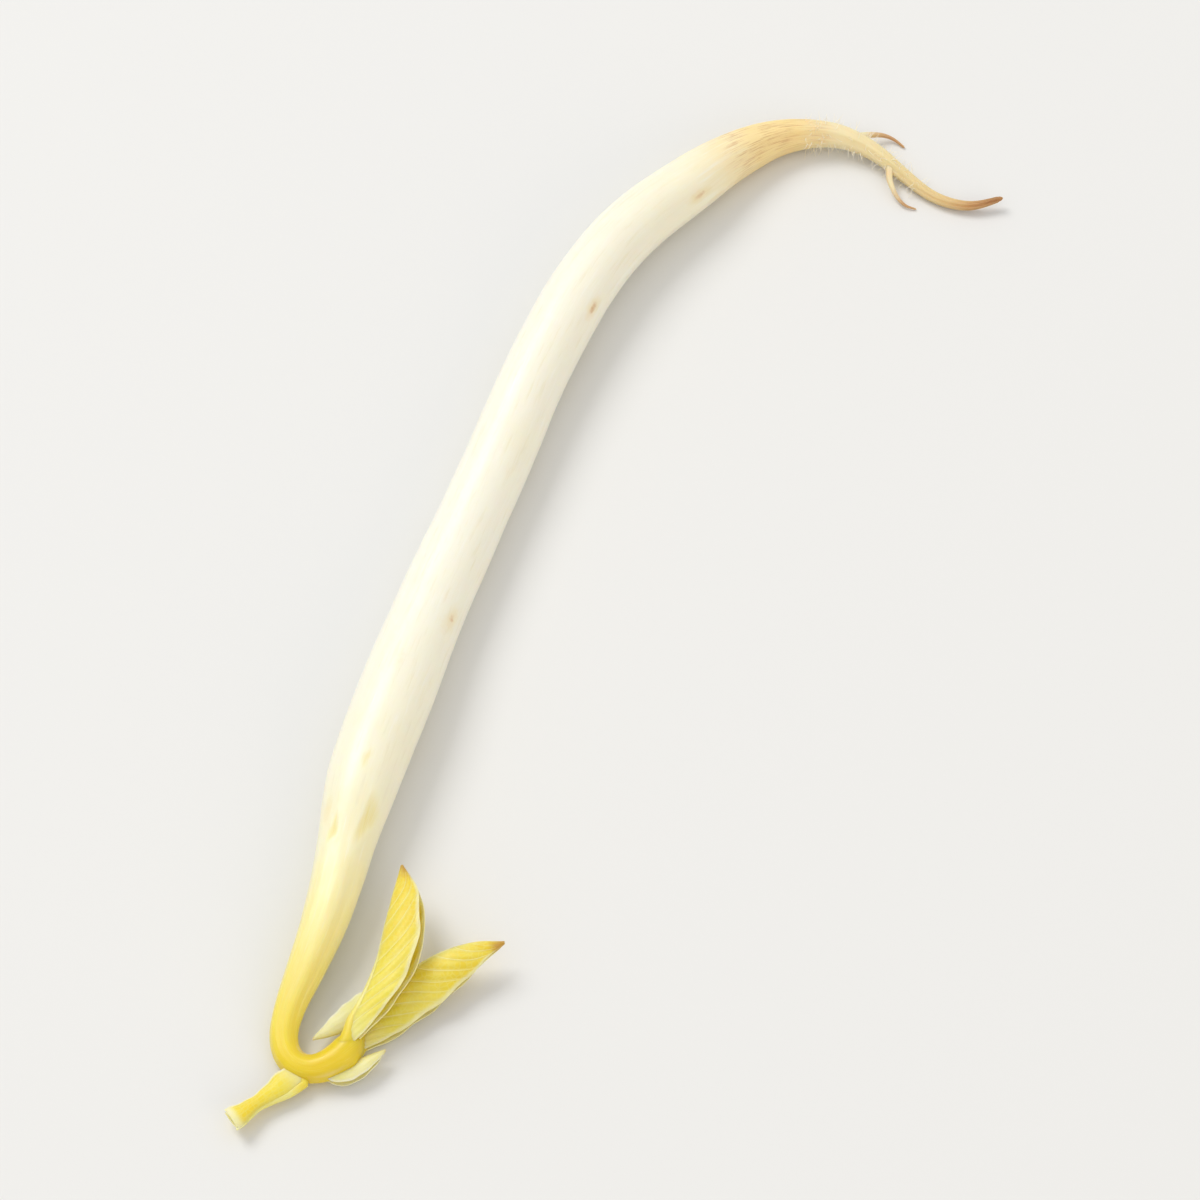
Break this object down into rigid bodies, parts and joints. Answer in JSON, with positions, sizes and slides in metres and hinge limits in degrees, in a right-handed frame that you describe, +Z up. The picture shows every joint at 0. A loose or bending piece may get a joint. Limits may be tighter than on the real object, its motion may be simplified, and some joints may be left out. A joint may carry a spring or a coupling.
{
  "type": "mung bean sprout",
  "caption": "Single mung bean sprout lying down: plump ivory stem, tan tapering root, yellow hooked top with small folded leaves.",
  "frame": {"origin": "on the surface the sprout rests on, under the middle of its box", "axes": "+X along the sprout from its root to its hooked top, +Y to the side that its root and its leaves bend to, +Z up"},
  "size_m": [0.0606, 0.0182, 0.0036],
  "materials": {
    "flesh": "moist ivory flesh, satin",
    "hook": "pale lemon stalk, satin",
    "root": "tan root skin with darker streaks, dull",
    "leaf": "yellow young leaf with a brown tip, half dull",
    "scale": "thin pale scale, half dull"
  },
  "bodies": {
    "root": {"root": "root", "hypocotyl": "flesh", "epicotyl": "hook", "leaf_long": "leaf", "leaf_short": "leaf", "shoot_bud": "leaf", "stipule_inner": "scale", "stipule_outer": "scale"}
  },
  "joints": []
}
